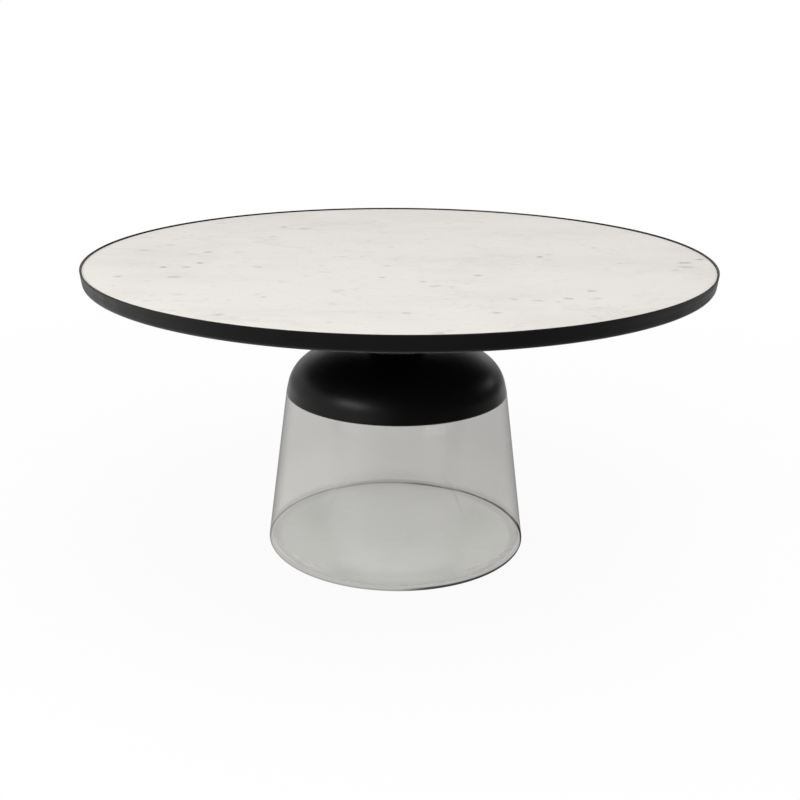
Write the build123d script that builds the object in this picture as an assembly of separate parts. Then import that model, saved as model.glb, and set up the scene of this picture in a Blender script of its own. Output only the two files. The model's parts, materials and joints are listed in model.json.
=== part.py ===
from build123d import *
import os
from math import atan2, cos, degrees, hypot, pi, radians, sin, sqrt, tan

# Round cocktail table: a stone top in a thin steel band, carried by a spun steel dome on a blown glass vessel.
# Lengths are in millimetres and angles in degrees. The origin is on the floor under the middle, +Z is up.

# --- Overall size
table_d = 914.4  # outside of the rim band
table_h = 450.0  # floor to the upper edge of the rim band

# --- Top: slab, band, ledge and the pads between them
slab_t = 18.0
slab_ease = 1.2  # rounding of the slab's upper and lower edge
slab_gap = 0.5  # slab to band, all round
band_t = 2.5  # band and ledge
band_lean = 6.5  # band and slab edge against the vertical, narrower below
band_lip = 1.0  # band above the slab's face
band_bend = 6.0  # outside of the bend at the band's foot
band_foot = 1.0  # flat turned in past the bend, where the ledge is welded on
band_round = 0.4  # upper edges of the band
ledge_w = 29.0
pad_d = 14.0
edge_pad_t = 1.0
edge_pad_count = 12
arm_pad_radii = (130.0, 300.0)  # where each arm carries a pad

# --- Frame under the slab
arm_count = 4
arm_w = 50.0
arm_t = 6.0
arm_lap = 16.0  # arm under the ledge
arm_corner = 10.0  # cut off the corners of the outer end
arm_gap = 0.3  # between the inner ends of two arms
hub_margin = 5.0  # hub plate outside the neck flange
hub_t = 5.0

# --- Neck
neck_d = 90.0
neck_wall = 3.0
flange_margin = 12.0  # flange outside the washers
flange_t = 6.0
plug_t = 12.0
weld_gap = 0.1  # between two pieces that are welded together, radially

# --- Fasteners: M8 hexagon bolts
bolt_d = 8.0
head_flats = 13.0
head_h = 5.3
nut_h = 6.5
washer_d = 16.0
washer_t = 1.6
hole_gap = 0.5  # bolt in a plain hole, radially
thread_gap = 0.05  # bolt in a threaded hole, radially
washer_gap = 0.3  # bolt in its washer, radially
tool_gap = 12.0  # neck to the washers of the flange bolts, for the spanner
bolt_stand_out = 0.9  # flange bolt past its nut
plug_thread = 8.0  # crown bolt in the plug
crown_circle_d = 50.0
bolt_count = 4

# --- Dome
dome_edge_d = 337.6  # outside, at its lower edge
dome_edge_z = 241.3
dome_t = 2.5
dome_lean = 13.0  # skirt against the vertical
dome_skirt_h = 14.0  # straight part of the skirt
dome_knuckle_r = 56.0
dome_h = 72.0  # edge to the flat seat of the neck
seat_margin = 12.0  # flat seat outside the neck
backing_t = 4.0
backing_margin = 3.0  # backing plate inside the flat seat

# --- Seat of the dome on the glass
seat_ring_w = 38.0
seat_ring_t = 5.0
mouth_gasket_t = 3.0
edge_seal_t = 0.6
seal_inset = 0.4  # seal inside the edges that hold it
spigot_h = 14.0  # glass above its shoulder
spigot_gap = 1.0  # glass to the dome's inner face

# --- Glass vessel
foot_d = 402.6  # where the outer cone meets the floor
glass_wall = 5.0
glass_floor_t = 4.0
foot_round = 3.0
foot_land_w = 16.0  # ground flat ring that the vessel stands on
inner_round = 4.5
push_up = 3.0  # floor raised in the middle
shoulder_depth = 15.0  # the inner wall starts to close this far below the shoulder
shoulder_blend = 30.0
shoulder_round = 1.2
mouth_round = 1.0

# --- Heights that follow, from the top down
slab_z = table_h - band_lip - slab_t
ledge_z = slab_z - edge_pad_t - band_t
arm_z = ledge_z - arm_t
hub_z = arm_z - hub_t
flange_z = hub_z - flange_t
dome_top_z = dome_edge_z + dome_h
shoulder_z = dome_edge_z - edge_seal_t
mouth_z = shoulder_z + spigot_h
seat_ring_z = mouth_z + mouth_gasket_t

# --- Radii that follow, the band's first: its outer corner before bending, its inner edge and its inner face
slope = radians(band_lean)
band_corner_r = table_d / 2 - (table_h - ledge_z) * tan(slope)
band_foot_r = band_corner_r - band_bend / tan((pi / 2 + slope) / 2) - band_foot
ledge_in_r = band_foot_r - ledge_w
neck_r = neck_d / 2
flange_circle_r = neck_r + tool_gap + washer_d / 2
flange_r = flange_circle_r + washer_d / 2 + flange_margin
hub_r = flange_r + hub_margin
seat_r = neck_r + seat_margin
bolt_r = bolt_d / 2
dome_edge_r = dome_edge_d / 2
foot_r = foot_d / 2

# --- Dome section: a leaning skirt, a knuckle and a crown, each tangent to the next
lean = radians(dome_lean)
knuckle_start_r = dome_edge_r - dome_skirt_h * tan(lean)
knuckle_centre_r = knuckle_start_r - dome_knuckle_r * cos(lean)
knuckle_centre_z = dome_edge_z + dome_skirt_h - dome_knuckle_r * sin(lean)
crown_span = knuckle_centre_r - seat_r
crown_rise = dome_top_z - knuckle_centre_z
crown_r = (crown_span**2 + crown_rise**2 - dome_knuckle_r**2) / (2 * (crown_rise - dome_knuckle_r))
crown_centre_z = dome_top_z - crown_r
crown_start = atan2(knuckle_centre_z - crown_centre_z, crown_span)


def band_inner_r(z):
    """Radius of the band's leaning inner face at a height."""
    return table_d / 2 - band_t / cos(slope) - (table_h - z) * tan(slope)


def dome_inner_r(z):
    """Radius of the dome's inner face at a height on its skirt or knuckle."""
    knuckle = dome_knuckle_r - dome_t
    if z < knuckle_centre_z + knuckle * sin(lean):
        return dome_edge_r - dome_t / cos(lean) - (z - dome_edge_z) * tan(lean)
    return knuckle_centre_r + sqrt(knuckle**2 - (z - knuckle_centre_z) ** 2)


def ring(inner_r, outer_r, z, height):
    """Flat ring whose lower face is at z."""
    return Pos(0, 0, z) * extrude(Circle(outer_r) - Circle(inner_r), height)


def disc(radius, z, height):
    """Round plate whose lower face is at z."""
    return Pos(0, 0, z) * extrude(Circle(radius), height)


def spin(face):
    """Solid of revolution about the table's axis; the face has radius as X and height as Y."""
    return revolve(Plane.XZ * face, Axis.Z)


def corner(face, radius, height):
    """The face's vertex nearest to a point of its section."""
    return min(face.vertices(), key=lambda v: hypot(v.X - radius, v.Y - height))


def circle_places(count, radius, start=0.0):
    """Places evenly spaced on a circle, each turned with its angle."""
    return [Rot(0, 0, start + 360 * i / count) * Pos(radius, 0, 0) for i in range(count)]


def between_arms():
    """Angle halfway between the first two arms."""
    return 180 / arm_count


def flange_bolt_places():
    return circle_places(bolt_count, flange_circle_r, between_arms())


def crown_bolt_places():
    return circle_places(bolt_count, crown_circle_d / 2, between_arms())


def with_holes(plate, places, radius, z, height):
    """A plate with round holes right through it."""
    for place in places:
        plate -= place * disc(radius, z, height)
    return plate


def group(solids):
    return Compound(children=solids)


# --- The top


def marble_top():
    """Round slab whose edge is ground to the band's lean."""
    top_z = slab_z + slab_t
    section = Polygon(
        (0, slab_z),
        (band_inner_r(slab_z) - slab_gap, slab_z),
        (band_inner_r(top_z) - slab_gap, top_z),
        (0, top_z),
        align=None,
    )
    slab = spin(section)
    return fillet(slab.edges().filter_by(GeomType.CIRCLE), slab_ease)


def rim_band():
    """Rolled strip that leans in and is turned in at its foot."""
    outer_r = table_d / 2
    shelf_z = ledge_z + band_t
    section = Polygon(
        (band_foot_r, ledge_z),
        (band_corner_r, ledge_z),
        (outer_r, table_h),
        (band_inner_r(table_h), table_h),
        (band_inner_r(shelf_z), shelf_z),
        (band_foot_r, shelf_z),
        align=None,
    )
    section = fillet(corner(section, band_corner_r, ledge_z), band_bend)
    section = fillet(corner(section, band_inner_r(shelf_z), shelf_z), band_bend - band_t)
    upper = [corner(section, outer_r, table_h), corner(section, band_inner_r(table_h), table_h)]
    return spin(fillet(upper, band_round))


def ledge_ring():
    return ring(ledge_in_r, band_foot_r - weld_gap, ledge_z, band_t)


def edge_bumpers():
    pad = disc(pad_d / 2, ledge_z + band_t, edge_pad_t)
    return group([place * pad for place in circle_places(edge_pad_count, ledge_in_r + ledge_w / 2)])


def arm_bumpers():
    pad = disc(pad_d / 2, ledge_z, band_t + edge_pad_t)
    return group([place * pad for radius in arm_pad_radii for place in circle_places(arm_count, radius)])


# --- The frame


def frame_arm(index):
    """Flat bar from the hub to the ledge, the corners of its outer end cut off."""
    half = arm_w / 2
    start = half / tan(pi / arm_count) + arm_gap
    end = ledge_in_r + arm_lap
    outline = Polygon(
        (start, -half),
        (end - arm_corner, -half),
        (end, arm_corner - half),
        (end, half - arm_corner),
        (end - arm_corner, half),
        (start, half),
        align=None,
    )
    return Rot(0, 0, 360 * index / arm_count) * Pos(0, 0, arm_z) * extrude(outline, arm_t)


def hub_plate():
    return with_holes(disc(hub_r, hub_z, hub_t), flange_bolt_places(), bolt_r + hole_gap, hub_z, hub_t)


def hub_nuts():
    nut = RegularPolygon(head_flats / 2, 6, major_radius=False) - Circle(bolt_r + thread_gap)
    nut = Pos(0, 0, hub_z + hub_t) * extrude(nut, nut_h)
    return group([place * nut for place in flange_bolt_places()])


# --- Fasteners


def hex_bolt(under_head_z, length):
    """Bolt that points up, its head below under_head_z."""
    head = Pos(0, 0, under_head_z - head_h) * extrude(RegularPolygon(head_flats / 2, 6, major_radius=False), head_h)
    return head + disc(bolt_r, under_head_z, length)


def washer(z):
    return ring(bolt_r + washer_gap, washer_d / 2, z, washer_t)


def flange_bolts():
    length = washer_t + flange_t + hub_t + nut_h + bolt_stand_out
    bolt = hex_bolt(flange_z - washer_t, length)
    return group([place * bolt for place in flange_bolt_places()])


def flange_washers():
    return group([place * washer(flange_z - washer_t) for place in flange_bolt_places()])


def crown_bolts():
    through = washer_t + backing_t + dome_t
    bolt = hex_bolt(dome_top_z - through, through + plug_thread)
    return group([place * bolt for place in crown_bolt_places()])


def crown_washers():
    under = dome_top_z - dome_t - backing_t - washer_t
    return group([place * washer(under) for place in crown_bolt_places()])


# --- The neck


def neck_flange():
    plate = disc(flange_r, flange_z, flange_t)
    return with_holes(plate, flange_bolt_places(), bolt_r + hole_gap, flange_z, flange_t)


def neck_tube():
    return ring(neck_r - neck_wall, neck_r, dome_top_z, flange_z - dome_top_z)


def neck_plug():
    plate = disc(neck_r - neck_wall - weld_gap, dome_top_z, plug_t)
    return with_holes(plate, crown_bolt_places(), bolt_r + thread_gap, dome_top_z, plug_t)


# --- The dome


def dome_section(inset):
    """Section of the space under the dome's outer face, or under a face parallel to it."""
    knuckle = CenterArc(
        (knuckle_centre_r, knuckle_centre_z),
        dome_knuckle_r - inset,
        dome_lean,
        degrees(crown_start) - dome_lean,
    )
    crown = CenterArc((seat_r, crown_centre_z), crown_r - inset, degrees(crown_start), 90 - degrees(crown_start))
    edge_r = dome_edge_r - inset / cos(lean)
    skirt = Line((edge_r, dome_edge_z), knuckle @ 0)
    rest = Polyline(crown @ 1, (0, dome_top_z - inset), (0, dome_edge_z), (edge_r, dome_edge_z))
    return make_face(skirt + knuckle + crown + rest)


def dome_shell():
    shell = spin(dome_section(0)) - spin(dome_section(dome_t))
    return with_holes(shell, crown_bolt_places(), bolt_r + hole_gap, dome_top_z - dome_t, dome_t)


def backing_plate():
    z = dome_top_z - dome_t - backing_t
    return with_holes(disc(seat_r - backing_margin, z, backing_t), crown_bolt_places(), bolt_r + hole_gap, z, backing_t)


def seat_ring_r():
    """Outside of the seat ring, which meets the leaning wall at its upper edge."""
    return dome_inner_r(seat_ring_z + seat_ring_t) - weld_gap


def seat_ring():
    return ring(seat_ring_r() - seat_ring_w, seat_ring_r(), seat_ring_z, seat_ring_t)


# --- The glass and its seals


def spigot_top_r():
    return dome_inner_r(mouth_z) - spigot_gap


def mouth_gasket():
    inner_r = spigot_top_r() - glass_wall + mouth_round
    return ring(inner_r, seat_ring_r() - seal_inset, mouth_z, mouth_gasket_t)


def edge_seal():
    inner_r = dome_edge_r - dome_t / cos(lean) + seal_inset
    return ring(inner_r, dome_edge_r - seal_inset, shoulder_z, edge_seal_t)


def cap_arc(radius, z, rise):
    """Shallow arc from the axis, rise above z, down to a radius at z."""
    bow_r = (radius**2 + rise**2) / (2 * rise)
    middle = z + rise - bow_r + sqrt(bow_r**2 - (radius / 2) ** 2)
    return ThreePointArc((0, z + rise), (radius / 2, middle), (radius, z))


def land_in_r():
    """Radius where the flat ring under the glass ends and the raised middle starts."""
    cone = atan2(foot_r - dome_edge_r, shoulder_z)
    return foot_r - foot_round / tan((pi / 2 - cone) / 2) - foot_land_w


def glass_base():
    """Blown vessel: outer cone, stepped spigot, and an inner face that follows them."""
    taper = (foot_r - dome_edge_r) / shoulder_z
    spigot_base_r = dome_inner_r(dome_edge_z) - spigot_gap
    spigot_r = spigot_top_r()
    mouth_in_r = spigot_r - glass_wall
    close_z = shoulder_z - shoulder_depth
    close_r = foot_r - taper * close_z - glass_wall
    floor_r = foot_r - taper * glass_floor_t - glass_wall
    outside = Polyline(
        (land_in_r(), 0),
        (foot_r, 0),
        (dome_edge_r, shoulder_z),
        (spigot_base_r, shoulder_z),
        (spigot_r, mouth_z),
        (mouth_in_r, mouth_z),
        (close_r, close_z),
        (floor_r, glass_floor_t),
        (land_in_r(), glass_floor_t),
    )
    axis_line = Line((0, glass_floor_t + push_up), (0, push_up))
    underside = cap_arc(land_in_r(), 0, push_up)
    inner_floor = cap_arc(land_in_r(), glass_floor_t, push_up)
    section = make_face(underside + outside + inner_floor + axis_line)
    section = fillet(corner(section, foot_r, 0), foot_round)
    section = fillet(corner(section, floor_r, glass_floor_t), inner_round)
    section = fillet(corner(section, close_r, close_z), shoulder_blend)
    section = fillet(corner(section, spigot_base_r, shoulder_z), shoulder_round)
    lips = [corner(section, spigot_r, mouth_z), corner(section, mouth_in_r, mouth_z)]
    return spin(fillet(lips, mouth_round))


nodes = {
    "marble_top": marble_top(),
    "rim_band": rim_band(),
    "ledge_ring": ledge_ring(),
    "edge_bumpers": edge_bumpers(),
    "arm_bumpers": arm_bumpers(),
    "hub_plate": hub_plate(),
    "hub_nuts": hub_nuts(),
    "flange_bolts": flange_bolts(),
    "flange_washers": flange_washers(),
    "neck_flange": neck_flange(),
    "neck_tube": neck_tube(),
    "neck_plug": neck_plug(),
    "crown_bolts": crown_bolts(),
    "crown_washers": crown_washers(),
    "dome_shell": dome_shell(),
    "backing_plate": backing_plate(),
    "seat_ring": seat_ring(),
    "mouth_gasket": mouth_gasket(),
    "edge_seal": edge_seal(),
    "glass_base": glass_base(),
}
for arm_index in range(arm_count):
    nodes[f"frame_arm_{arm_index + 1}"] = frame_arm(arm_index)

os.makedirs("parts", exist_ok=True)
for name, shape in nodes.items():
    export_step(shape, f"parts/{name}.step")
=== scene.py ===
import json

import bpy
import numpy as np
from mathutils import Matrix, Vector


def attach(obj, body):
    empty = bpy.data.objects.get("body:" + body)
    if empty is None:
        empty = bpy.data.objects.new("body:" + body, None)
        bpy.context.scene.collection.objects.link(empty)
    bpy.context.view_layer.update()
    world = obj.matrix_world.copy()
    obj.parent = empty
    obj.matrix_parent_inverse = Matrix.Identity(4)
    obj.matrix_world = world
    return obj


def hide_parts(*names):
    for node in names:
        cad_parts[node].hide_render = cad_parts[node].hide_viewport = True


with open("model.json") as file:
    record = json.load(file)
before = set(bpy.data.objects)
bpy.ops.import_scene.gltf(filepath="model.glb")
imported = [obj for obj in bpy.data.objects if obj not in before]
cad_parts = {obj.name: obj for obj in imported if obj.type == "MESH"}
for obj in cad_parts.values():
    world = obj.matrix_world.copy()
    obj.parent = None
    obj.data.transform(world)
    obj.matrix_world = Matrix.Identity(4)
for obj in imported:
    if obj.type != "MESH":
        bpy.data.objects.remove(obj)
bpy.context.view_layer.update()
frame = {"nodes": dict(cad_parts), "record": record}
nodes = frame["nodes"]
mm = 0.001
print("frame loaded:", len(nodes), "nodes")


def gridPiece(name, rows, closedRows=False, ends=None, sharpAbove=40, places=None):
    # rows[i, j] is the point at step i along and step j around; around always closes on itself.
    # closedRows joins the last row to the first, and ends gives two points that close them with fans.
    # places lists (angle, radius) about the table's axis, in degrees and metres: each copy is moved out by
    # the radius and turned by the angle.
    count, around = rows.shape[:2]
    i = np.arange(count if closedRows else count - 1)[:, None]
    j = np.arange(around)[None, :]
    below, above, beside = i * around, (i + 1) % count * around, (j + 1) % around
    quads = np.stack([below + j, below + beside, above + beside, above + j], -1).reshape(-1, 4)
    points = rows.reshape(-1, 3)
    fans = np.zeros((0, 3), int)
    if ends is not None:
        points = np.vstack([points, ends])
        first, last = count * around, count * around + 1
        j, beside = j[0], beside[0]
        edge = (count - 1) * around
        fans = np.vstack([
            np.stack([beside, j, np.full(around, first)], -1),
            np.stack([edge + j, edge + beside, np.full(around, last)], -1),
        ])
    # the enclosed volume tells which way the faces point
    corners = np.vstack([quads[:, [0, 1, 2]], quads[:, [0, 2, 3]], fans])
    a, b, c = (points[corners[:, k]] for k in range(3))
    if np.einsum("ij,ij->", a, np.cross(b, c)) < 0:
        quads, fans = quads[:, ::-1], fans[:, ::-1]
    if places is not None:
        turn, out = (np.array(values, float)[:, None] for values in zip(*places))
        cos, sin = np.cos(np.radians(turn)), np.sin(np.radians(turn))
        x, y, z = points[:, 0] + out, points[:, 1] + 0 * out, points[:, 2] + 0 * out
        copies = np.stack([x * cos - y * sin, x * sin + y * cos, z], -1)
        offset = (np.arange(len(places)) * len(points))[:, None, None]
        quads, fans = (quads + offset).reshape(-1, 4), (fans + offset).reshape(-1, 3)
        points = copies.reshape(-1, 3)
    mesh = bpy.data.meshes.new(name)
    mesh.vertices.add(len(points))
    mesh.vertices.foreach_set("co", points.ravel())
    mesh.loops.add(quads.size + fans.size)
    mesh.loops.foreach_set("vertex_index", np.concatenate([quads.ravel(), fans.ravel()]))
    sizes = np.repeat([4, 3], [len(quads), len(fans)])
    mesh.polygons.add(len(sizes))
    mesh.polygons.foreach_set("loop_start", np.concatenate([[0], np.cumsum(sizes)[:-1]]))
    mesh.update(calc_edges=True)
    mesh.polygons.foreach_set("use_smooth", np.ones(len(sizes), bool))
    mesh.set_sharp_from_angle(angle=np.radians(sharpAbove))
    piece = bpy.data.objects.new(name, mesh)
    bpy.context.scene.collection.objects.link(piece)
    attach(piece, "root")
    return piece


def roundedLine(corners, closed=False, steps=9):
    # Corners are (radius, height, rounding). Each rounding is the arc that touches both its runs: it starts
    # rounding / tan(half the corner's angle) before the corner, and its points blend the two touching radii.
    corners = np.array(corners, float)
    at, size = corners[:, :2], corners[:, 2:]
    before, after = np.roll(at, 1, 0) - at, np.roll(at, -1, 0) - at
    before /= np.linalg.norm(before, axis=1, keepdims=True)
    after /= np.linalg.norm(after, axis=1, keepdims=True)
    half = np.arccos(np.clip((before * after).sum(1, keepdims=True), -1, 1)) / 2
    half = np.where(size > 0, half, 1.0)
    inwards = before + after
    inwards /= np.maximum(np.linalg.norm(inwards, axis=1, keepdims=True), 1e-9)
    middle = at + inwards * size / np.sin(half)
    start = at + before * size / np.tan(half) - middle
    end = at + after * size / np.tan(half) - middle
    sweep = (np.pi - 2 * half)[:, None]
    t = np.linspace(0, 1, steps)[None, :, None]
    arcs = (np.sin((1 - t) * sweep) * start[:, None] + np.sin(t * sweep) * end[:, None]) / np.sin(sweep)
    arcs = np.where(size[:, None] > 0, middle[:, None] + arcs, at[:, None])
    if not closed:
        arcs[0], arcs[-1] = at[0], at[-1]
    line = arcs.reshape(-1, 2)
    # a point that repeats the one before it is dropped
    keep = np.linalg.norm(line - np.roll(line, 1, 0), axis=1) > 1e-7
    keep[0] = True
    return line[keep]


def finer(line, step):
    # Adds points to a line so that none are further apart than step, and keeps those it has.
    along = np.concatenate([[0], np.cumsum(np.linalg.norm(np.diff(line, axis=0), axis=1))])
    places = np.union1d(along, np.arange(0, along[-1], step))
    places = places[np.concatenate([[True], np.diff(places) > step * 0.05])]
    places[-1] = along[-1]
    return np.stack([np.interp(places, along, line[:, k]) for k in range(2)], -1)


def shallowBow(radius, height, rise, steps=12):
    # Arc of a large circle from the axis, rise above height, down to radius at height.
    bow = (radius**2 + rise**2) / (2 * rise)
    r = np.linspace(0, radius, steps)
    return np.stack([r, height + rise - bow + np.sqrt(bow**2 - r**2)], -1)


def turned(name, line, around, swell=None, closed=False, sharpAbove=40):
    # Surface of revolution: x = r cos a, y = r sin a, z = height, where r is the line's radius plus what
    # swell gives there. A line whose two ends lie on the axis closes there with fans.
    ends = None
    if not closed:
        ends = np.array([[0, 0, line[0, 1]], [0, 0, line[-1, 1]]])
        line = line[1:-1]
    a = np.linspace(0, 2 * np.pi, around, endpoint=False)[None, :]
    r = line[:, :1] + (0 if swell is None else swell(line, a))
    rows = np.stack(np.broadcast_arrays(r * np.cos(a), r * np.sin(a), line[:, 1:]), -1)
    return gridPiece(name, rows, closed, ends, sharpAbove)


def addNode(tree, kind, values=None, **settings):
    new = tree.nodes.new(kind)
    for key, value in settings.items():
        setattr(new, key, value)
    for key, value in (values or {}).items():
        if hasattr(value, "is_linked"):
            tree.links.new(value, new.inputs[key])
        else:
            new.inputs[key].default_value = value
    return new


def newMaterial(name):
    material = bpy.data.materials.new(name)
    material.use_nodes = True
    return material, material.node_tree, material.node_tree.nodes["Principled BSDF"]


def objectPoint(tree, scale=(1, 1, 1), turn=0.0, move=(0, 0, 0)):
    where = addNode(tree, "ShaderNodeTexCoord").outputs["Object"]
    values = {"Vector": where, "Scale": scale, "Rotation": (0, 0, turn), "Location": move}
    return addNode(tree, "ShaderNodeMapping", values).outputs["Vector"]


def noise(tree, point, scale, detail=2.0, roughness=0.5, output="Fac"):
    values = {"Vector": point, "Scale": scale, "Detail": detail, "Roughness": roughness}
    return addNode(tree, "ShaderNodeTexNoise", values).outputs[output]


def spread(tree, value, low, high, toLow=0.0, toHigh=1.0):
    # smooth step: toLow at low and below it, toHigh at high and above it
    values = {"Value": value, "From Min": low, "From Max": high, "To Min": toLow, "To Max": toHigh}
    return addNode(tree, "ShaderNodeMapRange", values, interpolation_type="SMOOTHSTEP").outputs["Result"]


def maths(tree, how, a, b=0.0):
    return addNode(tree, "ShaderNodeMath", {0: a, 1: b}, operation=how).outputs[0]


def times(tree, first, *others):
    for other in others:
        first = maths(tree, "MULTIPLY", first, other)
    return first


def largest(tree, first, *others):
    for other in others:
        first = maths(tree, "MAXIMUM", first, other)
    return first


def vectors(tree, how, a, b=(0, 0, 0), output="Vector"):
    return addNode(tree, "ShaderNodeVectorMath", {0: a, 1: b}, operation=how).outputs[output]


def axes(tree, vector):
    return addNode(tree, "ShaderNodeSeparateXYZ", {0: vector}).outputs


def blend(tree, amount, a, b):
    # the colour a where the amount is 0, and b where it is 1
    mixer = addNode(tree, "ShaderNodeMix", {"Factor": amount}, data_type="RGBA")
    for socket, value in zip(("A", "B"), (a, b)):
        target = next(s for s in mixer.inputs if s.name == socket and s.type == "RGBA")
        if hasattr(value, "is_linked"):
            tree.links.new(value, target)
        else:
            target.default_value = (*value, 1)
    return next(s for s in mixer.outputs if s.type == "RGBA")


def bump(tree, shader, height, strength, distance):
    new = addNode(tree, "ShaderNodeBump", {"Height": height, "Strength": strength, "Distance": distance})
    tree.links.new(new.outputs["Normal"], shader.inputs["Normal"])


def mixShaders(tree, amount, a, b):
    return addNode(tree, "ShaderNodeMixShader", {0: amount, 1: a.outputs[0], 2: b.outputs[0]})


def endWith(tree, shader):
    tree.links.new(shader.outputs[0], tree.nodes["Material Output"].inputs["Surface"])


def scaled(colour, by):
    return tuple(by * c for c in colour)


stoneTop = dict(
    bottomRadius=452.019, topRadius=454.070, bottom=431.0, top=449.0, ease=1.2, step=30.0, around=360,
    colour=(0.785, 0.757, 0.712), cloud=(0.69, 0.655, 0.61), fleckColour=(0.24, 0.215, 0.19),
    # the scale of a noise is about how many of its waves there are in a metre
    clouds=(5.5, 0.55),  # scale, strength
    streaks=[(0.45, 56, 3, 0.50), (-0.35, 64, 8, 0.42), (0.1, 105, 5, 0.30)],  # lean, scale, place, strength
    veins=[(3.2, 0.014, 4, 0.16), (7.5, 0.020, 9, 0.12)],  # scale, breadth, place, strength
    streakPatches=9, veinPatches=6,
    # larger flecks: x, y, length, width in mm, turn in degrees, strength
    flecks=[
        (411, -44, 20, 12, 20, 0.7), (440, -17, 16, 10, 30, 0.7), (406, -73, 22, 15, -15, 0.45),
        (387, -94, 9, 7, 0, 0.55), (209, -6, 10, 9, 20, 0.8), (225, 12, 17, 8, 40, 0.35),
        (249, -229, 11, 9, -10, 0.7), (213, -273, 13, 9, -20, 0.6), (173, -285, 18, 7, -15, 0.45),
        (145, -277, 11, 9, -35, 0.5), (117, -348, 12, 9, -25, 0.6), (110, -138, 11, 9, 10, 0.65),
        (34, -181, 10, 8, -15, 0.5), (-20, -155, 11, 8, 20, 0.5), (-282, -66, 11, 10, 25, 0.8),
        (-328, -96, 11, 10, 30, 0.8), (-283, 17, 14, 10, 25, 0.65), (-386, 28, 13, 9, 15, 0.55),
        (-300, -161, 20, 12, -10, 0.45), (-378, -160, 13, 9, 15, 0.5), (-193, 242, 11, 11, 0, 0.6),
        (-156, 228, 22, 14, 25, 0.45), (-195, -92, 15, 10, -40, 0.45), (-76, -239, 20, 15, 35, 0.25),
        (-210, -367, 14, 10, 25, 0.4), (45, -443, 14, 10, 15, 0.4), (10, -353, 12, 8, -10, 0.4),
        (-351, 72, 16, 11, -18, 0.4),
    ],
    fleckReach=0.75, fleckDepth=0.02,  # share of the length and width, and metres
    ragged=(160, 0.010),  # scale of the ragged edge, and metres that it strays
    mottle=(260, 0.45),  # scale, least strength
    roughness=0.42, honed=(120, 0.05, 0.06),  # scale, and how far the roughness goes down and up
    grain=(900, 0.06, 0.0002),  # scale, strength, depth
    # black resin over glass mesh, on the underside and up to these metres above it
    backing=(0.010, 0.010, 0.011), backingEnd=(0.0001, 0.0004), backingRoughness=0.95,
    threadPitch=3.0, threadShine=2.2, threadRelief=4.0,  # the threads of the mesh: mm, times paler, share
)


def addFlecks(tree, point, colour):
    # each larger fleck is a soft oval with a ragged edge
    s = stoneTop
    scale, strays = s["ragged"]
    ragged = noise(tree, point, scale, output="Color")
    ragged = vectors(tree, "SUBTRACT", ragged, (0.5, 0.5, 0.5))
    ragged = addNode(tree, "ShaderNodeVectorMath", {0: ragged, "Scale": strays}, operation="SCALE").outputs[0]
    moved = vectors(tree, "ADD", point, ragged)
    marks = None
    for x, y, length, width, turn, strength in s["flecks"]:
        values = {
            "Vector": moved,
            "Location": (x * mm, y * mm, s["top"] * mm),
            "Rotation": (0, 0, np.radians(turn)),
            "Scale": (length * mm * s["fleckReach"], width * mm * s["fleckReach"], s["fleckDepth"]),
        }
        where = addNode(tree, "ShaderNodeMapping", values, vector_type="TEXTURE").outputs["Vector"]
        oval = addNode(tree, "ShaderNodeTexGradient", {"Vector": where}, gradient_type="SPHERICAL")
        oval = times(tree, spread(tree, oval.outputs["Fac"], 0.0, 0.7), strength)
        marks = oval if marks is None else largest(tree, marks, oval)
    scale, least = s["mottle"]
    mottled = spread(tree, noise(tree, point, scale), 0.35, 0.65, least, 1.0)
    return blend(tree, times(tree, marks, mottled), colour, s["fleckColour"])


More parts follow.
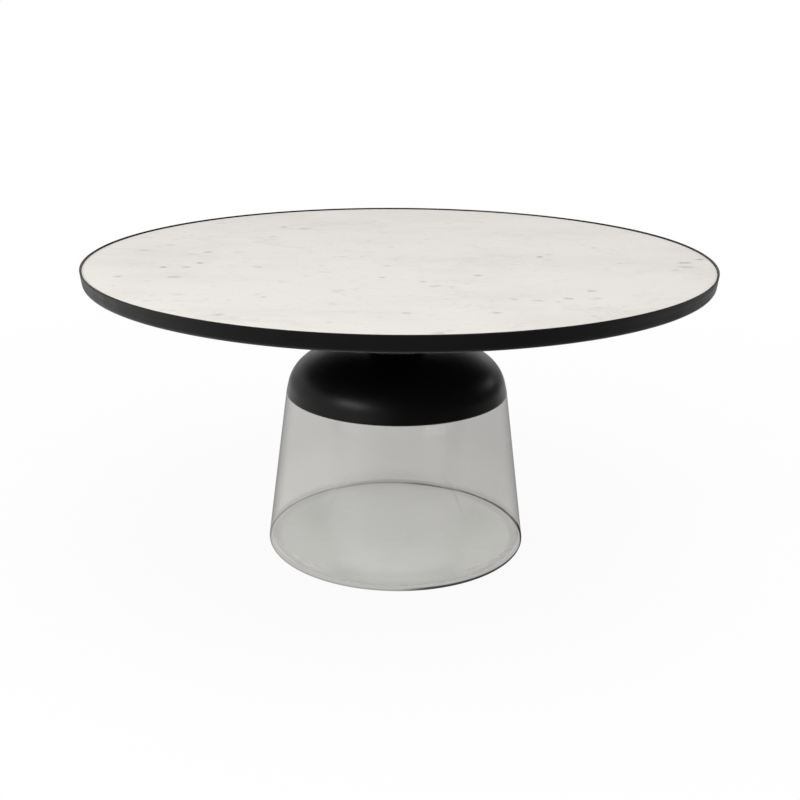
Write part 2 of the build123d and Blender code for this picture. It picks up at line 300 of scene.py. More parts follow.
def marble():
    s = stoneTop
    material, tree, shader = newMaterial("whiteMarble")
    point = objectPoint(tree)
    scale, strength = s["clouds"]
    cloudy = spread(tree, noise(tree, objectPoint(tree, (1, 1.6, 1), 0.3), scale, 4, 0.6), 0.42, 0.75)
    colour = blend(tree, times(tree, cloudy, strength), s["colour"], s["cloud"])
    # soft streaks that lean a little both ways from the bed of the stone, in patches
    for lean, scale, place, strength in s["streaks"]:
        streaks = spread(tree, noise(tree, objectPoint(tree, (0.75, 1.1, 1), lean), scale, 2.5), 0.60, 0.80)
        where = objectPoint(tree, move=(place, 1, 0))
        patches = spread(tree, noise(tree, where, s["streakPatches"]), 0.46, 0.66)
        colour = blend(tree, times(tree, streaks, patches, strength), colour, s["fleckColour"])
    # faint veins follow the level lines of a noise, and fade in and out
    for scale, breadth, place, strength in s["veins"]:
        level = noise(tree, objectPoint(tree, (0.8, 1.2, 1), 0.35, (place, 0, 0)), scale, 5, 0.55)
        level = maths(tree, "ABSOLUTE", maths(tree, "SUBTRACT", level, 0.5))
        vein = spread(tree, level, 0.0, breadth, 1.0, 0.0)
        where = objectPoint(tree, move=(0, place, 0))
        patches = spread(tree, noise(tree, where, s["veinPatches"], 3, 0.6), 0.40, 0.75)
        colour = blend(tree, times(tree, vein, patches, strength), colour, s["fleckColour"])
    colour = addFlecks(tree, point, colour)
    # the underside is backed with mesh in black resin
    place = axes(tree, point)
    under = spread(tree, place["Z"], *(s["bottom"] * mm + end for end in s["backingEnd"]), 1.0, 0.0)
    threads = []
    for axis in "XY":
        wave = maths(tree, "SINE", times(tree, place[axis], np.pi / (s["threadPitch"] * mm)))
        threads.append(maths(tree, "ABSOLUTE", wave))
    mesh = spread(tree, maths(tree, "MINIMUM", *threads), 0.05, 0.45, 1.0, 0.0)
    backing = blend(tree, mesh, s["backing"], scaled(s["backing"], s["threadShine"]))
    tree.links.new(blend(tree, under, colour, backing), shader.inputs["Base Color"])
    scale, less, more = s["honed"]
    gloss = noise(tree, point, scale, 3)
    gloss = spread(tree, gloss, 0.3, 0.7, s["roughness"] - less, s["roughness"] + more)
    rough = largest(tree, gloss, times(tree, under, s["backingRoughness"]))
    tree.links.new(rough, shader.inputs["Roughness"])
    scale, strength, depth = s["grain"]
    relief = maths(tree, "ADD", noise(tree, point, scale), times(tree, mesh, under, s["threadRelief"]))
    bump(tree, shader, relief, strength, depth)
    return material


def makeStoneTop():
    s = stoneTop
    line = roundedLine([
        (0, s["bottom"], 0), (s["bottomRadius"], s["bottom"], s["ease"]),
        (s["topRadius"], s["top"], s["ease"]), (0, s["top"], 0),
    ], steps=7) * mm
    piece = turned("stoneTop", finer(line, s["step"] * mm), s["around"])
    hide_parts("marble_top")
    piece.data.materials.append(marble())


makeStoneTop()
print("stone top done")


coat = dict(colour=(0.0052, 0.0049, 0.0048), roughness=0.40, specular=0.22, peel=0.05)
lacquer = dict(colour=(0.0042, 0.0040, 0.0039), roughness=0.34, specular=0.25, peel=0.03)
paint = dict(
    peelScales=(1400, 260), peelDepth=0.0003, tint=(1.0, 0.98, 0.965, 1.0),
    patches=(35, 0.03, 0.04),  # scale, and how far the roughness goes down and up
    tones=(14, 1.3),  # scale, and how much paler the palest is
    stretch=(0.02, 0.02, 1),  # draws the noise out into lines round the axis
)


def blackCoat(name, s, lines=0, shine=0.0):
    # satin paint: orange peel from two noises, and slow changes of gloss
    material, tree, shader = newMaterial(name)
    point = objectPoint(tree)
    fine, broad = (noise(tree, point, scale) for scale in paint["peelScales"])
    scale, less, more = paint["patches"]
    gloss = noise(tree, point, scale, 3)
    gloss = spread(tree, gloss, 0.25, 0.75, s["roughness"] - less, s["roughness"] + more)
    if lines:
        # faint lines left by the spinning lathe or the rolls run round the axis
        along = noise(tree, objectPoint(tree, paint["stretch"]), lines)
        broad = maths(tree, "ADD", broad, along)
        gloss = maths(tree, "ADD", gloss, spread(tree, along, 0.3, 0.7, -shine, shine))
    scale, lift = paint["tones"]
    tone = spread(tree, noise(tree, point, scale, 3), 0.3, 0.7)
    colour = blend(tree, tone, s["colour"], scaled(s["colour"], lift))
    tree.links.new(colour, shader.inputs["Base Color"])
    tree.links.new(gloss, shader.inputs["Roughness"])
    shader.inputs["Specular IOR Level"].default_value = s["specular"]
    shader.inputs["Specular Tint"].default_value = paint["tint"]
    bump(tree, shader, maths(tree, "ADD", fine, broad), s["peel"], paint["peelDepth"])
    return material


powderCoat = blackCoat("powderCoat", coat)
bandCoat = blackCoat("bandCoat", coat, lines=330, shine=0.04)
domeLacquer = blackCoat("domeLacquer", lacquer, lines=240)


rimBand = dict(
    outside=457.2, corner=454.636, foot=448.281, shelfCorner=452.405, inside=454.684,
    bottom=427.5, shelf=430.0, top=450.0, bend=6.0, insideBend=3.5, upperRound=0.7,
    seam=0.05, seamWidth=5.0, outOfRound=0.12, step=4.0, around=720,
)


def makeRimBand():
    s = rimBand
    line = roundedLine([
        (s["foot"], s["bottom"], 0), (s["corner"], s["bottom"], s["bend"]),
        (s["outside"], s["top"], s["upperRound"]), (s["inside"], s["top"], s["upperRound"]),
        (s["shelfCorner"], s["shelf"], s["insideBend"]), (s["foot"], s["shelf"], 0),
    ], closed=True, steps=12) * mm
    line = finer(np.vstack([line, line[:1]]), s["step"] * mm)[:-1]

    def swell(line, a):
        # rolled strip: slightly out of round, never outside the true circle, with a dressed weld at the back
        outOfRound = -s["outOfRound"] * (0.5 + 0.3 * np.sin(3 * a + 0.7) + 0.2 * np.sin(7 * a + 2.0))
        seam = -s["seam"] * np.exp(-(((a - np.pi / 2) * s["outside"] / s["seamWidth"]) ** 2))
        return (outOfRound + seam) * mm + 0 * line[:, :1]

    piece = turned("rimBand", line, s["around"], swell, closed=True)
    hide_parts("rim_band")
    piece.data.materials.append(bandCoat)


makeRimBand()
print("rim band done")


dome = dict(
    edgeRadius=168.8, edge=241.3, wall=2.5, lean=13.0, skirt=14.0, knuckle=56.0, top=313.3, seat=57.0,
    edgeRound=0.8, step=4.0, around=360, knuckleSteps=40, crownSteps=30,
    toolMark=0.012, toolPhase=1.9, oval=0.05, flat=60.0,  # mm, radians per mm of height, mm, mm of radius
)


def domeLine(inset):
    # Leaning skirt, knuckle arc and crown arc, each tangent to the next, then the flat seat; inset moves
    # all inwards. The crown's circle holds the knuckle's, and both touch where the arcs meet.
    s = dome
    lean = np.radians(s["lean"])
    startR = s["edgeRadius"] - s["skirt"] * np.tan(lean)
    centreR = startR - s["knuckle"] * np.cos(lean)
    centreZ = s["edge"] + s["skirt"] - s["knuckle"] * np.sin(lean)
    span, rise = centreR - s["seat"], s["top"] - centreZ
    crown = (span**2 + rise**2 - s["knuckle"] ** 2) / (2 * (rise - s["knuckle"]))
    crownZ = s["top"] - crown
    meet = np.arctan2(centreZ - crownZ, span)
    a = np.linspace(lean, meet, s["knuckleSteps"])
    b = np.linspace(meet, np.pi / 2, s["crownSteps"])[1:]
    k, c = s["knuckle"] - inset, crown - inset
    return np.vstack([
        [(s["edgeRadius"] - inset / np.cos(lean), s["edge"])],
        np.stack([centreR + k * np.cos(a), centreZ + k * np.sin(a)], -1),
        np.stack([s["seat"] + c * np.cos(b), crownZ + c * np.sin(b)], -1),
        [(0, s["top"] - inset)],
    ])


def makeDome():
    s = dome
    outer, inner = domeLine(0), domeLine(s["wall"])
    # the trimmed edge is softly rounded between the two faces
    lip = roundedLine([
        (*outer[1], 0), (*outer[0], s["edgeRound"]), (*inner[0], s["edgeRound"]), (*inner[1], 0),
    ], steps=6)
    line = finer(np.vstack([outer[::-1][:-1], lip[1:-1], inner[1:]]) * mm, s["step"] * mm)

    def swell(line, a):
        # spun sheet: faint tool rings on the side and a trace of ovality, none on the flat seat
        rings = s["toolMark"] * np.sin(line[:, 1:] / mm * s["toolPhase"])
        return (rings + s["oval"] * np.sin(2 * a + 0.4)) * mm * (line[:, :1] > s["flat"] * mm)

    piece = turned("domeShell", line, s["around"], swell)
    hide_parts("dome_shell")
    piece.data.materials.append(domeLacquer)


makeDome()
print("dome done")


glass = dict(
    landInside=181.866, pushUp=3.0, floorTop=4.0, step=6.0, around=400,
    footRadius=201.3, footRound=3.0, shoulderRadius=168.8, shoulder=240.7, shoulderRound=0.5,
    within=[  # radius, height, rounding, from the shoulder over the mouth and down to the floor
        (165.234, 240.7, 1.2), (162.141, 254.7, 1.0), (157.141, 254.7, 1.0),
        (165.826, 225.7, 30.0), (195.760, 4.0, 4.5),
    ],
    waviness=0.12, calm=(0.004, 0.238, 0.03),  # where the waves start and end, and their run-in, in metres
    index=1.5, shade=(0.78, 0.78, 0.77, 1),  # shade is what is left of a lamp's light behind the glass
    ground=0.12, groundTop=(0.0002, 0.0006),  # roughness of the ring it stands on, and where it ends
    # Below are tints, and the places where they change, in metres. Tints in pairs are for the left and the
    # right; the difference between them is painted light and shade, following how the light falls on each
    # side.
    sides=(-0.17, 0.17),
    wallTint=((0.730, 0.724, 0.713), (0.668, 0.661, 0.651)),
    floorTint=((0.695, 0.70, 0.675), (0.745, 0.75, 0.722)),
    litFloorTint=((0.75, 0.755, 0.73), (0.81, 0.815, 0.785)),
    floorShade=(0.07, 0.09, 0.20),  # painted shade: where the floor is darkest, behind the middle, and how far round it fades to the paler tint
    wallRadius=(0.191, 0.196), wallHeight=(0.012, 0.020),  # where the floor turns into the wall
    lowShade=0.16, lowShadeTop=0.040,  # painted shade: the wall's last 40 mm darken towards the foot
    # Seen on edge: how far the glass turns away before it is, the wall's outline, and its thin lower part up
    # to where the tint is the wall's again.
    bend=(0.08, 0.24), edgeTint=(0.53, 0.526, 0.52), edgeBend=(0.60, 1.0),
    thinTint=((0.785, 0.778, 0.766), (0.715, 0.708, 0.697)), thin=(0.05, 0.13),
    # painted shade along the foot: the foot, the last of it, which is dark, and its darkest side, each with
    # the heights where it ends
    footTint=((0.67, 0.665, 0.655), (0.63, 0.625, 0.615)), foot=(0.0085, 0.0120),
    soleTint=((0.48, 0.476, 0.468), (0.19, 0.188, 0.186)), sole=(0.0024, 0.0044), soleSide=(-0.02, 0.06),
    darkest=(0.07, 0.069, 0.068), darkestSole=(0.0040, 0.0062), darkestSide=(0.7, 0.145, 0.19),
    uneven=0.0035, unevenScale=38, unevenPlace=(-0.06, 0.08),  # the painted dark edge wanders at the back
    # the ring it stands on
    ringTint=((0.77, 0.765, 0.755), (0.75, 0.745, 0.735)), ringTintTop=(0.001, 0.003),
    ringTop=(0.0005, 0.002), ringInside=(0.180, 0.184),
    outerFace=(3.5, 1.5),  # mm inside the outer cone
)


def smokedGlass():
    s = glass
    material, tree, shader = newMaterial("smokedGlass")
    point = objectPoint(tree)
    place = axes(tree, point)
    x, y, height = (place[axis] for axis in "XYZ")
    across = vectors(tree, "MULTIPLY", point, (1, 1, 0))
    radius = vectors(tree, "LENGTH", across, output="Value")
    # painted light and shade: each pair of tints blends from its left tint to its right one
    side = spread(tree, x, *s["sides"])
    wallTint, floorTint, litFloorTint, thinTint, footTint, ringTint = (
        blend(tree, side, *s[name])
        for name in ("wallTint", "floorTint", "litFloorTint", "thinTint", "footTint", "ringTint")
    )
    # painted shade: a dark line along the sole, darker on the right and darkest at the front right
    soleTint = blend(tree, spread(tree, x, *s["soleSide"]), *s["soleTint"])
    slope, start, end = s["darkestSide"]
    corner = spread(tree, maths(tree, "SUBTRACT", x, times(tree, y, slope)), start, end)
    darkest = times(tree, corner, spread(tree, height, *s["darkestSole"], 1.0, 0.0))
    # painted shade: the wall darkens towards the foot
    lowShade = times(tree, spread(tree, height, s["floorTop"] * mm, s["lowShadeTop"], 1.0, 0.0), s["lowShade"])
    # painted shade under the table: the floor is darkest a little behind the middle and paler towards the
    # front
    behind, start, end = s["floorShade"]
    off = vectors(tree, "DISTANCE", across, (0, behind, 0), "Value")
    floorTint = blend(tree, spread(tree, off, start, end), floorTint, litFloorTint)
    # the floor is thinner than the wall and takes less light
    wall = largest(tree, spread(tree, radius, *s["wallRadius"]), spread(tree, height, *s["wallHeight"]))
    tint = blend(tree, wall, floorTint, blend(tree, lowShade, wallTint, (0, 0, 0)))
    tree.links.new(tint, shader.inputs["Base Color"])
    shader.inputs["Transmission Weight"].default_value = 1.0
    shader.inputs["IOR"].default_value = s["index"]
    # polished all over, but for the ring it stands on, which is ground flat
    rough = spread(tree, height, *s["groundTop"], s["ground"], 0.0)
    tree.links.new(rough, shader.inputs["Roughness"])
    # the outer face of the cone, told from the inner one by its radius brought down to the floor
    taper = (s["footRadius"] - s["shoulderRadius"]) / s["shoulder"]
    brought = maths(tree, "ADD", radius, times(tree, height, taper))
    outer = spread(tree, brought, *((s["footRadius"] - depth) * mm for depth in s["outerFace"]))
    foot = spread(tree, height, *s["foot"], 1.0, 0.0)
    ring = spread(tree, height, *s["ringTop"], 1.0, 0.0)
    ring = times(tree, ring, spread(tree, radius, *s["ringInside"]))
    # seen on edge, the wall is one dark run of glass: its outer face takes all the light that it costs
    facing = addNode(tree, "ShaderNodeLayerWeight", {"Blend": 0.5}).outputs["Facing"]
    onEdge = times(tree, spread(tree, facing, *s["bend"]), largest(tree, wall, ring))
    onEdge = largest(tree, onEdge, times(tree, foot, outer))
    outside = blend(tree, spread(tree, height, *s["thin"]), thinTint, wallTint)
    outside = blend(tree, spread(tree, facing, *s["edgeBend"]), outside, s["edgeTint"])
    outside = blend(tree, foot, outside, footTint)
    # the painted dark line along the sole, with an upper edge that wanders at the back
    wander = maths(tree, "SUBTRACT", noise(tree, point, s["unevenScale"], 3), 0.5)
    wander = times(tree, wander, spread(tree, y, *s["unevenPlace"], 0.0, s["uneven"]))
    sole = spread(tree, maths(tree, "ADD", height, wander), *s["sole"])
    outside = blend(tree, darkest, blend(tree, sole, soleTint, outside), s["darkest"])
    inside = blend(tree, spread(tree, height, *s["ringTintTop"]), ringTint, (1, 1, 1))
    straight = addNode(tree, "ShaderNodeBsdfTransparent", {"Color": blend(tree, outer, inside, outside)})
    edged = mixShaders(tree, onEdge, shader, straight)
    # lamps shine through the glass and lose some light in it
    through = addNode(tree, "ShaderNodeBsdfTransparent", {"Color": s["shade"]})
    light = addNode(tree, "ShaderNodeLightPath").outputs
    endWith(tree, mixShaders(tree, light["Is Shadow Ray"], edged, through))
    return material


def makeGlass():
    s = glass
    under = shallowBow(s["landInside"], 0, s["pushUp"])
    floor = shallowBow(s["landInside"], s["floorTop"], s["pushUp"])[::-1]
    wall = roundedLine([
        (*under[-1], 0), (s["footRadius"], 0, s["footRound"]),
        (s["shoulderRadius"], s["shoulder"], s["shoulderRound"]), *s["within"], (*floor[0], 0),
    ], steps=14)
    line = finer(np.vstack([under, wall[1:-1], floor]) * mm, s["step"] * mm)
    start, end, runIn = s["calm"]

    def swell(line, a):
        # Blown wall: slow waves that turn a little with height, still at the foot and at the mouth. The
        # inner face, which lies more than 3 mm inside the outer cone, has waves of its own as well.
        r, z = line[:, :1], line[:, 1:]
        calm = np.clip((z - start) / runIn, 0, 1) * np.clip((end - z) / runIn, 0, 1)
        cone = np.interp(z / mm, [0, s["shoulder"]], [s["footRadius"], s["shoulderRadius"]])
        inside = (r / mm < cone - 3).astype(float)
        outer = 0.25 * np.sin(2 * a + 9 * z) + 0.15 * np.sin(5 * a - 14 * z + 1.0)
        inner = np.sin(3 * a + 20 * z + 0.5) * np.cos(16 * z + 1.2) + 0.5 * np.sin(7 * a - 26 * z)
        return s["waviness"] * mm * calm * (outer + inside * inner)

    piece = turned("glassVessel", line, s["around"], swell, sharpAbove=60)
    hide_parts("glass_base")
    piece.data.materials.append(smokedGlass())


makeGlass()
print("glass done")


plating = dict(grain=500, blotches=60, dull=0.82, reach=(0.07, 0.08), relief=(0.08, 0.0002))


def zinc(name, colour, roughness):
    # plated steel: fine directional grain and slight blotches
    s = plating
    material, tree, shader = newMaterial(name)
    grain = noise(tree, objectPoint(tree, (1, 1, 12)), s["grain"], 3)
    blotch = spread(tree, noise(tree, objectPoint(tree), s["blotches"], 3), 0.3, 0.7)
    tree.links.new(blend(tree, blotch, colour, scaled(colour, s["dull"])), shader.inputs["Base Color"])
    less, more = s["reach"]
    gloss = spread(tree, grain, 0.2, 0.8, roughness - less, roughness + more)
    tree.links.new(gloss, shader.inputs["Roughness"])
    shader.inputs["Metallic"].default_value = 1.0
    bump(tree, shader, grain, *s["relief"])
    return material


pads = dict(
    milk=300, colours=((0.90, 0.91, 0.90), (0.82, 0.83, 0.82)), roughness=(0.12, 0.2), clear=0.9, index=1.41,
)


def silicone():
    # clear pads, a little milky in places
    s = pads
    material, tree, shader = newMaterial("clearSilicone")
    milky = spread(tree, noise(tree, objectPoint(tree), s["milk"]), 0.3, 0.7)
    tree.links.new(blend(tree, milky, *s["colours"]), shader.inputs["Base Color"])
    tree.links.new(spread(tree, milky, 0, 1, *s["roughness"]), shader.inputs["Roughness"])
    shader.inputs["Transmission Weight"].default_value = s["clear"]
    shader.inputs["IOR"].default_value = s["index"]
    return material


rubber = dict(
    tones=40, colours=((0.010, 0.010, 0.010), (0.020, 0.020, 0.019)),
    patches=90, roughness=(0.62, 0.75), grain=1500, relief=(0.1, 0.0002),
)


def gasket():
    # matt black rubber with a fine grain
    s = rubber
    material, tree, shader = newMaterial("gasketRubber")
    point = objectPoint(tree)
    tree.links.new(blend(tree, noise(tree, point, s["tones"], 3), *s["colours"]), shader.inputs["Base Color"])
    rough = spread(tree, noise(tree, point, s["patches"]), 0.2, 0.8, *s["roughness"])
    tree.links.new(rough, shader.inputs["Roughness"])
    bump(tree, shader, noise(tree, point, s["grain"]), *s["relief"])
    return material


finishes = {
    "black_powder_coat": powderCoat,
    "dome_lacquer": domeLacquer,
    "black_zinc": zinc("blackZinc", (0.06, 0.06, 0.062), 0.38),
    "zinc_plate": zinc("zincPlate", (0.62, 0.63, 0.64), 0.32),
    "clear_silicone": silicone(),
    "black_gasket": gasket(),
}

fourBetween = [45, 135, 225, 315]  # angles between the arms
chamfer = np.tan(np.radians(30))  # slope of the cone that takes the corners off a hexagon

bolts = dict(
    flats=13.0, head=5.3, faceWidth=12.2, washerFace=12.5, washerFaceHeight=0.35,
    shank=8.0, pitch=1.25, pitchSteps=8, threadDepth=0.6, around=96,
    tipCut=0.85, coneDepth=0.8, coneLength=0.8,  # how much thinner the end is, and the cone before it
    sets=[  # name, node, slot, circle radius, height under the head, length under the head, threaded length
        ("flangeBolts", "flange_bolts", "black_zinc", 65.0, 408.9, 20.0, 14.0),
        ("crownBolts", "crown_bolts", "zinc_plate", 25.0, 305.2, 16.1, 11.0),
    ],
)


def hexRadius(a, flats):
    # distance from the middle to the side of a hexagon, at angle a
    return flats / 2 / np.cos(np.mod(a, np.pi / 3) - np.pi / 6)


def makeBolts():
    # Rows climb the bolt from the face of its head to its tip. Head rows are the least of the hexagon and a
    # chamfer cone, the washer face is round, and thread rows are the shank less a groove that climbs one
    # pitch a turn.
    s = bolts
    a = np.linspace(0, 2 * np.pi, s["around"], endpoint=False)[None, :]
    shank, seatStart = s["shank"] / 2, s["head"] - s["washerFaceHeight"]
    for name, node, slotName, circle, under, length, threaded in s["sets"]:
        tipZ = s["head"] + length
        headZ = np.array([0, 0.15, 0.3, 0.45, 0.6, 0.8, 1.2, 2.5, seatStart])[:, None]
        head = np.minimum(hexRadius(a, s["flats"]), s["faceWidth"] / 2 + headZ / chamfer)
        seatZ = np.array([seatStart, s["head"], s["head"]])[:, None]
        seat = np.array([s["washerFace"], s["washerFace"], s["shank"]])[:, None] / 2 + 0 * a
        plainZ = np.linspace(s["head"], tipZ - threaded, 4)[1:, None]
        plain = shank + 0 * plainZ + 0 * a
        threadZ = np.arange(tipZ - threaded, tipZ, s["pitch"] / s["pitchSteps"])[1:, None]
        turn = np.mod((threadZ - s["head"]) / s["pitch"] - a / (2 * np.pi), 1.0)
        runIn = np.clip((threadZ - threadZ[0]) / s["pitch"], 0, 1)
        tip = np.clip((tipZ - threadZ) / s["coneLength"], 0, 1)
        thread = shank - s["threadDepth"] * runIn * np.clip(1.15 - 2.6 * np.abs(turn - 0.5), 0, 1)
        thread = np.minimum(thread, shank - s["coneDepth"] * (1 - tip))
        end = shank - s["tipCut"] + 0 * a
        z = np.vstack([headZ, seatZ, plainZ, threadZ, [[tipZ]]])
        r = np.vstack([head, seat, plain, thread, end])
        rows = np.stack([r * np.cos(a), r * np.sin(a), (under - s["head"] + z) + 0 * a], -1) * mm
        ends = np.array([[0, 0, under - s["head"]], [0, 0, under + length]]) * mm
        places = [(angle, circle * mm) for angle in fourBetween]
        piece = gridPiece(name, rows, ends=ends, sharpAbove=28, places=places)
        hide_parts(node)
        piece.data.materials.append(finishes[slotName])


nuts = dict(
    flats=13.0, height=6.5, bottom=421.5, bore=4.05, boreChamfer=0.4, circle=65.0, faceWidth=12.2, around=96,
)


def makeNuts():
    # A closed loop of rows: up the hexagon, chamfered by a cone at both ends, and down the bore.
    s = nuts
    a = np.linspace(0, 2 * np.pi, s["around"], endpoint=False)[None, :]
    low = np.array([0, 0.2, 0.4, 0.6, 0.8])
    sideZ = np.concatenate([low, [s["height"] / 2], s["height"] - low[::-1]])[:, None]
    fromEnd = np.minimum(sideZ, s["height"] - sideZ)
    outside = np.minimum(hexRadius(a, s["flats"]), s["faceWidth"] / 2 + fromEnd / chamfer)
    cut = s["boreChamfer"]
    boreZ = np.array([s["height"], s["height"] - cut, cut, 0])[:, None]
    bore = s["bore"] + np.array([cut, 0, 0, cut])[:, None] + 0 * a
    z, r = np.vstack([sideZ, boreZ]), np.vstack([outside, bore])
    rows = np.stack([r * np.cos(a), r * np.sin(a), (s["bottom"] + z) + 0 * a], -1) * mm
    places = [(angle, s["circle"] * mm) for angle in fourBetween]
    piece = gridPiece("hubNuts", rows, closedRows=True, sharpAbove=28, places=places)
    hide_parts("hub_nuts")
    piece.data.materials.append(powderCoat)


welds = dict(
    size=3.4, armSize=2.6, sunk=0.25, bow=1.15,
    ripple=0.07, pitch=1.7, lag=0.45,  # share of the size, mm, share of a pitch that the middle lags
    slow=0.4, slowPitch=9.3,  # a slower ripple under it
    ringSteps=1800, hubSteps=240, ledgeSteps=120,
    runOut=2.2, least=0.03,  # mm over which a bead dies away at its ends, and the square of what is left
    # radius, height of the plate, away from it
    rings=[("neckFootWeld", 45.0, 313.3, 1), ("neckHeadWeld", 45.0, 410.5, -1)],
    hub=(90.0, 421.5, 22.0),  # radius of the plate, height of the arms' underside, half the run across an arm
    ledge=(25.0, 427.5, 421.0, 433.5),  # half an arm's width, height of the ledge, start and end of the run
)


def bead(name, path, along, up, size, closed=False, places=None):
    # Fillet bead: at each step of the path it fills the corner between two plates that run along "along" and
    # "up". Its face bows out as a quarter of an ellipse, and ripples run across it, bent like the pool that
    # froze there.
    s = welds
    quarter = np.pi / 2 * np.linspace(0, 1, 11)
    face = np.concatenate([[1.0], np.cos(quarter) ** s["bow"], [-s["sunk"]]])[None, :, None]
    rise = np.concatenate([[-s["sunk"]], np.sin(quarter) ** s["bow"], [1.0]])[None, :, None]
    lag = np.concatenate([[0], np.sin(2 * quarter), [0]])[None, :, None]
    run = np.concatenate([[0], np.cumsum(np.linalg.norm(np.diff(path, axis=0), axis=1))])[:, None, None] / mm
    pitch = run[-1] / np.round(run[-1] / s["pitch"])
    ripple = np.cos(2 * np.pi * (run / pitch - s["lag"] * lag))
    swell = 1 + s["ripple"] * (ripple + s["slow"] * np.sin(2 * np.pi * run / s["slowPitch"]))
    taper = 1.0
    if not closed:
        taper = np.sqrt(np.clip(np.minimum(run, run[-1] - run) / s["runOut"], s["least"], 1))
    face, rise = (np.where(part > 0, part * swell * taper, part) for part in (face, rise))
    rows = path[:, None] + (face * along[:, None] + rise * up[:, None]) * size * mm
    ends = None if closed else np.stack([rows[0].mean(0), rows[-1].mean(0)])
    piece = gridPiece(name, rows, closed, ends, sharpAbove=60, places=places)
    piece.data.materials.append(powderCoat)


def makeWelds():
    s = welds
    a = np.linspace(0, 2 * np.pi, s["ringSteps"], endpoint=False)
    ring = np.stack([np.cos(a), np.sin(a), 0 * a], -1)
    up = np.array([0, 0, 1.0])
    for name, radius, height, away in s["rings"]:
        path = ring * radius * mm + up * height * mm
        bead(name, path, ring, up * away + 0 * ring, s["size"], closed=True)
    # across the underside of each arm, against the edge of the hub plate
    radius, height, half = s["hub"]
    a = np.linspace(-half, half, s["hubSteps"]) / radius
    arc = np.stack([np.cos(a), np.sin(a), 0 * a], -1)
    arms = [(0, 0), (90, 0), (180, 0), (270, 0)]
    path = arc * radius * mm + up * height * mm
    bead("armHubWelds", path, arc, -up + 0 * arc, s["armSize"], places=arms)
    # along both sides of each arm, under the ledge
    half, height, start, end = s["ledge"]
    x = np.linspace(start, end, s["ledgeSteps"])[:, None]
    for name, side in (("armLedgeWeldsLeft", 1), ("armLedgeWeldsRight", -1)):
        path = np.concatenate([x, 0 * x + side * half, 0 * x + height], -1) * mm
        bead(name, path, np.array([0, side, 0.0]) + 0 * path, -up + 0 * path, s["armSize"], places=arms)


stitches = dict(
    radius=448.2, height=427.5, count=36, length=12.0, width=2.6, high=0.45, sunk=0.2,
    blunt=0.98,  # just under 1, so that the ends aren't quite points
    ripple=0.12, pitch=1.7, lag=0.3, steps=49, stepsAcross=9,
)


def makeStitches():
    # Ground stitches along the seam between band and ledge: low rounded pads, height times
    # (1 - u^4)(1 - v^2), where u runs along a stitch and v across it.
    s = stitches
    u = np.linspace(-1, 1, s["steps"])[:, None]
    across = np.linspace(-1, 1, s["stepsAcross"])
    v = np.concatenate([across, across[::-1][1:-1]])[None, :]
    under = np.concatenate([np.ones(len(across)), np.zeros(len(across) - 2)])[None, :]
    along, bow = 1 - s["blunt"] * u**4, 1 - v**2
    angle = u * s["length"] / 2 / s["radius"]
    r = s["radius"] + v * s["width"] / 2 * np.sqrt(along)
    ripple = 1 + s["ripple"] * np.cos(2 * np.pi * (u * s["length"] / 2 / s["pitch"] - s["lag"] * bow))
    z = s["height"] - under * s["high"] * along * bow * ripple + (1 - under) * s["sunk"]
    rows = np.stack([r * np.cos(angle), r * np.sin(angle), z + 0 * r], -1) * mm
    ends = np.stack([rows[0].mean(0), rows[-1].mean(0)])
    places = [(360 / s["count"] * (k + 0.5), 0) for k in range(s["count"])]
    piece = gridPiece("seamStitches", rows, ends=ends, sharpAbove=60, places=places)
    piece.data.materials.append(powderCoat)


makeBolts()
makeNuts()
makeWelds()
makeStitches()
print("fasteners and welds done")

slots = {part["node"]: part["material_slot"] for part in frame["record"]["subparts"]}
for name, thing in nodes.items():
    finish = finishes.get(slots[name])
    if finish is not None:
        thing.data.materials.clear()
        thing.data.materials.append(finish)
print("finishes done")


studio = dict(
    floorSize=30.0, floorDrop=0.0003, floorColour=(0.9, 0.9, 0.9), floorGlow=0.93, clearOfTable=(0.7, 2.2),
    fill=0.66, seen=1.0,
    # what gloss finds in the room
    wall=(0.7, 1.0), wallTop=(0.2, 0.42), screen=(0.0, -0.5, 0.58), dark=0.02,
    frontFloor=(-1.1, -0.25, 0.25), farFloor=(1.5, 3.0, 0.45),
    rightFloor=(0.1, 0.6, 0.52), rightSlope=0.9, nearFloor=(0.9, 1.3),
    lamps=[  # name, place, aimed at, width, height, watts
        ("topLight", (0.55, -0.7, 2.8), (0, 0, 0.4), 2.6, 2.6, 28.5),
        ("leftLight", (-1.61, -1.50, 1.34), (0, 0, 0.27), 1.1, 0.35, 17.5),
        ("rightLight", (2.2, 1.4, 1.35), (0, 0, 0.3), 0.9, 1.2, 4.5),
    ],
)


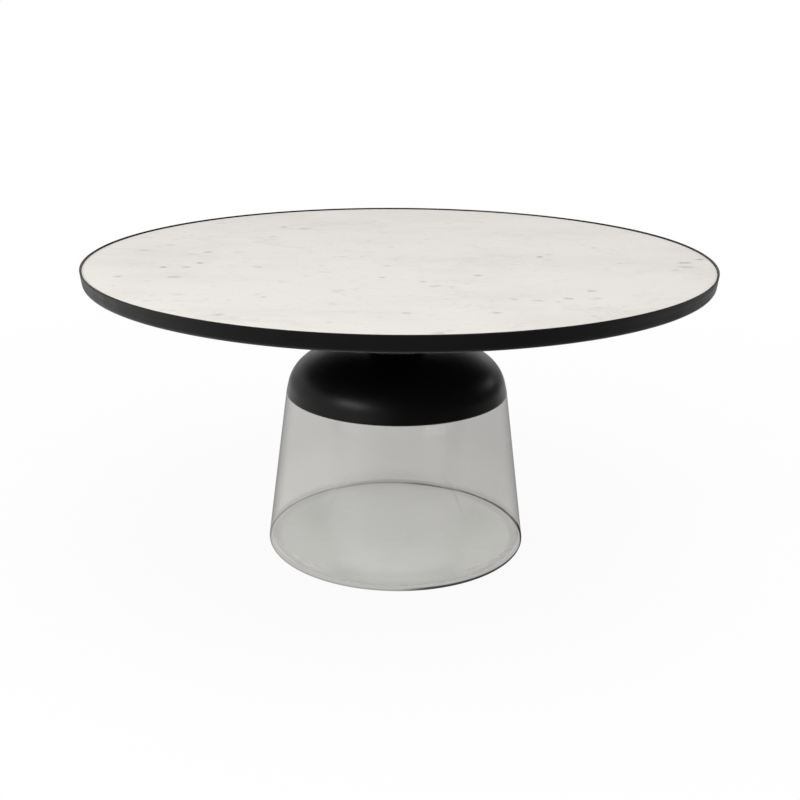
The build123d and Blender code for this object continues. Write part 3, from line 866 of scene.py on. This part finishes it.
def makeFloor():
    s = studio
    size = s["floorSize"] / 2
    low = -s["floorDrop"]  # clear of the glass, so that the two faces don't share a place
    corners = [(-size, -size, low), (size, -size, low), (size, size, low), (-size, size, low)]
    mesh = bpy.data.meshes.new("floor")
    mesh.from_pydata(corners, [], [(0, 1, 2, 3)])
    floor = bpy.data.objects.new("floor", mesh)
    bpy.context.scene.collection.objects.link(floor)
    material, tree, shader = newMaterial("paleFloor")
    shader.inputs["Base Color"].default_value = (*s["floorColour"], 1)
    shader.inputs["Roughness"].default_value = 0.9
    shader.inputs["Specular IOR Level"].default_value = 0.0
    point = objectPoint(tree)
    place = axes(tree, point)
    away = vectors(tree, "LENGTH", point, output="Value")
    light = addNode(tree, "ShaderNodeLightPath").outputs
    # gloss finds the floor white too, but darker in front, on the right and far off, where the sweep ends
    near, far, least = s["frontFloor"]
    found = spread(tree, place["Y"], near, far, least, 1.0)
    start, end, least = s["rightFloor"]
    aside = maths(tree, "SUBTRACT", place["X"], times(tree, place["Y"], s["rightSlope"]))
    found = times(tree, found, spread(tree, aside, start, end, 1.0, least))
    start, end, least = s["farFloor"]
    found = times(tree, found, spread(tree, away, start, end, 1.0, least))
    # white well away from the table, and near it a little less, which leaves room for its shadow
    white = spread(tree, away, *s["clearOfTable"], s["floorGlow"], 1.0)
    looked = largest(tree, light["Is Camera Ray"], light["Is Transmission Ray"])
    share = largest(tree, times(tree, looked, white), light["Is Glossy Ray"])
    nearby = times(tree, light["Is Transmission Ray"], spread(tree, away, *s["nearFloor"], 1.0, 0.0))
    strength = largest(tree, light["Is Camera Ray"], nearby, found)
    glow = addNode(tree, "ShaderNodeEmission", {"Color": (1, 1, 1, 1), "Strength": strength})
    # from below there is no floor, so that the underside of the table can be looked at
    below = addNode(tree, "ShaderNodeNewGeometry").outputs["Backfacing"]
    clear = addNode(tree, "ShaderNodeBsdfTransparent")
    endWith(tree, mixShaders(tree, below, mixShaders(tree, share, shader, glow), clear))
    floor.data.materials.append(material)


def makeWorld():
    s = studio
    world = bpy.data.worlds.new("studio")
    bpy.context.scene.world = world
    world.use_nodes = True
    tree = world.node_tree
    light = addNode(tree, "ShaderNodeLightPath").outputs
    # gloss finds the wall behind the table white and the left side pale, and the rest of the room dark
    towards = axes(tree, addNode(tree, "ShaderNodeTexCoord").outputs["Generated"])
    wall = spread(tree, towards["Y"], *s["wall"], 0.0, s["seen"])
    wall = times(tree, wall, spread(tree, towards["Z"], *s["wallTop"], 1.0, 0.0))
    start, full, pale = s["screen"]
    side = spread(tree, towards["X"], full, start, pale, 0.0)
    room = largest(tree, largest(tree, wall, s["dark"]), side)
    glossy = times(tree, light["Is Glossy Ray"], room)
    looked = largest(tree, light["Is Camera Ray"], light["Is Transmission Ray"])
    seen = largest(tree, glossy, times(tree, looked, s["seen"]))
    other = maths(tree, "SUBTRACT", 1.0, largest(tree, looked, light["Is Glossy Ray"]))
    background = tree.nodes["Background"]
    background.inputs["Color"].default_value = (1, 1, 1, 1)
    strength = maths(tree, "ADD", seen, times(tree, other, s["fill"]))
    tree.links.new(strength, background.inputs["Strength"])


def makeLamps():
    for name, place, aim, width, height, watts in studio["lamps"]:
        data = bpy.data.lights.new(name, "AREA")
        data.shape, data.size, data.size_y, data.energy = "RECTANGLE", width, height, watts
        lamp = bpy.data.objects.new(name, data)
        lamp.location = place
        lamp.rotation_euler = (Vector(aim) - Vector(place)).to_track_quat("-Z", "Y").to_euler()
        bpy.context.scene.collection.objects.link(lamp)


view = dict(
    place=(0.0, -1.6260, 0.7651), down=0.3217, left=0.0213, roll=0.0021,
    lens=49.96, shiftX=0.0325, sensor=36.0, clip=(0.05, 50.0),
)


def makeCamera():
    s = view
    data = bpy.data.cameras.new("camera")
    data.sensor_width, data.lens, data.shift_x = s["sensor"], s["lens"], s["shiftX"]
    data.clip_start, data.clip_end = s["clip"]
    camera = bpy.data.objects.new("camera", data)
    camera.matrix_world = (
        Matrix.Translation(s["place"])
        @ Matrix.Rotation(s["left"], 4, "Z")
        @ Matrix.Rotation(np.pi / 2 - s["down"], 4, "X")
        @ Matrix.Rotation(s["roll"], 4, "Z")
    )
    bpy.context.scene.collection.objects.link(camera)
    bpy.context.scene.camera = camera


makeFloor()
makeWorld()
makeLamps()
makeCamera()
scene = bpy.context.scene
scene.view_settings.view_transform = "Standard"
# light that runs through the floor of the glass takes many turns before it comes out
scene.cycles.max_bounces = scene.cycles.glossy_bounces = scene.cycles.transmission_bounces = 32
print("studio done")
